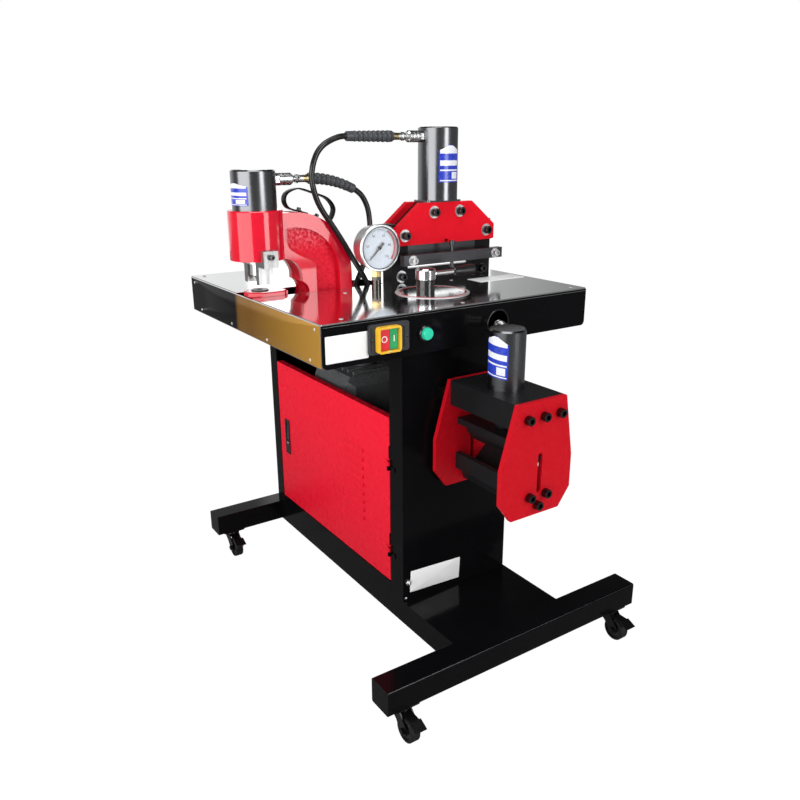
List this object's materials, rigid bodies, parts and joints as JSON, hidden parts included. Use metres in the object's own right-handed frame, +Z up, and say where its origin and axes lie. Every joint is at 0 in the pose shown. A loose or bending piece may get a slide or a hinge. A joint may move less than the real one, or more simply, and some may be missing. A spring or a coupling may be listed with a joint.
{
  "type": "busbar processing machine",
  "caption": "Wheeled busbar machine: hydraulic punching C-frame and shearing head on a steel table, bending head on the cabinet front, hoses, selector valve and pressure gauge",
  "frame": {"origin": "on the floor, under the middle of the machine's outline seen from above", "axes": "+X runs along the front skirt towards the shearing head's end, -Y is the front with the switch and the bending head, +Z is up"},
  "size_m": [0.673, 0.924, 1.09],
  "materials": {
    "black_paint": "gloss black enamel",
    "castor_steel": "black zinc plate",
    "wheel_rubber": "black solid rubber",
    "pedal_plastic": "black moulded plastic",
    "door_paint": "semi-gloss red enamel",
    "catch_black": "black satin",
    "catch_grey": "dark grey satin",
    "stainless": "bright stainless sheet",
    "mirror_steel": "mirror-polished steel",
    "switch_black": "black satin",
    "guard_orange": "orange gloss",
    "button_red": "red gloss",
    "button_green": "green gloss",
    "lamp_green": "green lens in a chrome ring",
    "valve_black": "black gloss",
    "valve_chrome": "bright chrome",
    "pointer_black": "matt black",
    "fitting_brass": "turned brass",
    "casting_red": "gloss red enamel over rough cast iron",
    "plate_red": "gloss red enamel",
    "gunmetal": "blackened steel",
    "tool_steel": "ground tool steel",
    "die_steel": "dark hardened steel",
    "body_black": "oiled black steel",
    "bolt_black": "black oxide",
    "coupling_chrome": "chrome shell with a brass tail",
    "sleeve_grey": "grey moulded rubber",
    "hose_rubber": "black rubber",
    "tank_paint": "dark grey enamel",
    "pump_cast": "grey cast aluminium"
  },
  "bodies": {
    "frame": {"base_frame": "black_paint", "castor_plates": "castor_steel", "cabinet": "black_paint", "hinge_pins": "black_paint", "table_frame": "black_paint", "table_top": "stainless", "switch_box": "switch_black", "switch_guard": "guard_orange", "pilot_lamp": "lamp_green", "valve_body": "valve_black", "valve_cover": "mirror_steel", "gauge_case": "valve_chrome", "gauge_fitting": "fitting_brass", "punch_frame": "casting_red", "punch_cylinder": "gunmetal", "punch_stripper": "tool_steel", "punch_die": "die_steel", "carry_strap": "black_paint", "cutter_frame": "body_black", "cutter_plates": "plate_red", "cutter_cylinder": "gunmetal", "lower_blade": "tool_steel", "clamp_bar": "die_steel", "bender_plates": "plate_red", "bender_head": "body_black", "bender_cylinder": "gunmetal", "bender_die": "body_black", "bender_bracket": "black_paint", "socket_bolts": "bolt_black", "hose_couplers": "coupling_chrome", "hose_sleeves": "sleeve_grey", "punch_hose": "hose_rubber", "cutter_hose": "hose_rubber", "bender_hose": "hose_rubber", "pump_tank": "tank_paint", "pump_cover": "pump_cast"},
    "door": {"door": "door_paint", "catch_body": "catch_black"},
    "catch": {"catch_lever": "catch_grey"},
    "stop": {"stop_button": "button_red"},
    "start": {"start_button": "button_green"},
    "valve": {"valve_lever": "valve_chrome", "lever_grip": "valve_black"},
    "pointer": {"gauge_pointer": "pointer_black"},
    "punch": {"punch_ram": "valve_chrome"},
    "shear": {"upper_blade": "die_steel"},
    "bending": {"bender_ram": "body_black"},
    "hold_down": {"clamp_screw": "valve_chrome"},
    "swivel_fl": {"fork_fl": "castor_steel"},
    "roller_fl": {"wheel_fl": "wheel_rubber"},
    "brake_fl": {"pedal_fl": "pedal_plastic"},
    "swivel_fr": {"fork_fr": "castor_steel"},
    "roller_fr": {"wheel_fr": "wheel_rubber"},
    "brake_fr": {"pedal_fr": "pedal_plastic"},
    "swivel_bl": {"fork_bl": "castor_steel"},
    "roller_bl": {"wheel_bl": "wheel_rubber"},
    "brake_bl": {"pedal_bl": "pedal_plastic"},
    "swivel_br": {"fork_br": "castor_steel"},
    "roller_br": {"wheel_br": "wheel_rubber"},
    "brake_br": {"pedal_br": "pedal_plastic"}
  },
  "joints": [
    {"name": "door_hinge", "type": "hinge", "parent": "frame", "child": "door", "pos_m": [-0.1315, -0.1465, 0.338], "axis": [0, 0, 1], "range_deg": [0, 110]},
    {"name": "catch_turn", "type": "hinge", "parent": "door", "child": "catch", "pos_m": [-0.125, 0.34, 0.367], "axis": [0, 1, 0], "range_deg": [0, 35], "stiffness_Nm_per_rad": 0.05},
    {"name": "stop_press", "type": "slide", "parent": "frame", "child": "stop", "axis": [0, 1, 0], "range_m": [0, 0.003], "stiffness_N_per_m": 600},
    {"name": "start_press", "type": "slide", "parent": "frame", "child": "start", "axis": [0, 1, 0], "range_m": [0, 0.003], "stiffness_N_per_m": 600},
    {"name": "valve_turn", "type": "hinge", "parent": "frame", "child": "valve", "pos_m": [0.0195, -0.064, 0.7925], "axis": [0, 0, 1], "range_deg": [-90, 20]},
    {"name": "pointer_turn", "type": "hinge", "parent": "frame", "child": "pointer", "pos_m": [-0.0455, 0.012, 0.845], "axis": [0, 1, 0], "range_deg": [0, 270]},
    {"name": "punch_slide", "type": "slide", "parent": "frame", "child": "punch", "axis": [0, 0, -1], "range_m": [0, 0.02]},
    {"name": "shear_slide", "type": "slide", "parent": "frame", "child": "shear", "axis": [0, 0, -1], "range_m": [0, 0.022]},
    {"name": "bending_slide", "type": "slide", "parent": "frame", "child": "bending", "axis": [0, 0, -1], "range_m": [0, 0.05]},
    {"name": "hold_down_slide", "type": "slide", "parent": "frame", "child": "hold_down", "axis": [0, 0, -1], "range_m": [0, 0.012]},
    {"name": "swivel_turn_fl", "type": "hinge", "parent": "frame", "child": "swivel_fl", "pos_m": [-0.2685, -0.394, 0.058], "axis": [0, 0, 1], "continuous": true},
    {"name": "roll_fl", "type": "hinge", "parent": "swivel_fl", "child": "roller_fl", "pos_m": [-0.2685, -0.421, 0.025], "axis": [1, 0, 0], "continuous": true},
    {"name": "brake_press_fl", "type": "hinge", "parent": "swivel_fl", "child": "brake_fl", "pos_m": [-0.2685, -0.406, 0.053], "axis": [1, 0, 0], "range_deg": [0, 8]},
    {"name": "swivel_turn_fr", "type": "hinge", "parent": "frame", "child": "swivel_fr", "pos_m": [0.2915, -0.394, 0.058], "axis": [0, 0, 1], "continuous": true},
    {"name": "roll_fr", "type": "hinge", "parent": "swivel_fr", "child": "roller_fr", "pos_m": [0.2915, -0.421, 0.025], "axis": [1, 0, 0], "continuous": true},
    {"name": "brake_press_fr", "type": "hinge", "parent": "swivel_fr", "child": "brake_fr", "pos_m": [0.2915, -0.406, 0.053], "axis": [1, 0, 0], "range_deg": [0, 8]},
    {"name": "swivel_turn_bl", "type": "hinge", "parent": "frame", "child": "swivel_bl", "pos_m": [-0.2685, 0.434, 0.058], "axis": [0, 0, 1], "continuous": true},
    {"name": "roll_bl", "type": "hinge", "parent": "swivel_bl", "child": "roller_bl", "pos_m": [-0.2685, 0.407, 0.025], "axis": [1, 0, 0], "continuous": true},
    {"name": "brake_press_bl", "type": "hinge", "parent": "swivel_bl", "child": "brake_bl", "pos_m": [-0.2685, 0.422, 0.053], "axis": [1, 0, 0], "range_deg": [0, 8]},
    {"name": "swivel_turn_br", "type": "hinge", "parent": "frame", "child": "swivel_br", "pos_m": [0.2915, 0.434, 0.058], "axis": [0, 0, 1], "continuous": true},
    {"name": "roll_br", "type": "hinge", "parent": "swivel_br", "child": "roller_br", "pos_m": [0.2915, 0.407, 0.025], "axis": [1, 0, 0], "continuous": true},
    {"name": "brake_press_br", "type": "hinge", "parent": "swivel_br", "child": "brake_br", "pos_m": [0.2915, 0.422, 0.053], "axis": [1, 0, 0], "range_deg": [0, 8]}
  ]
}
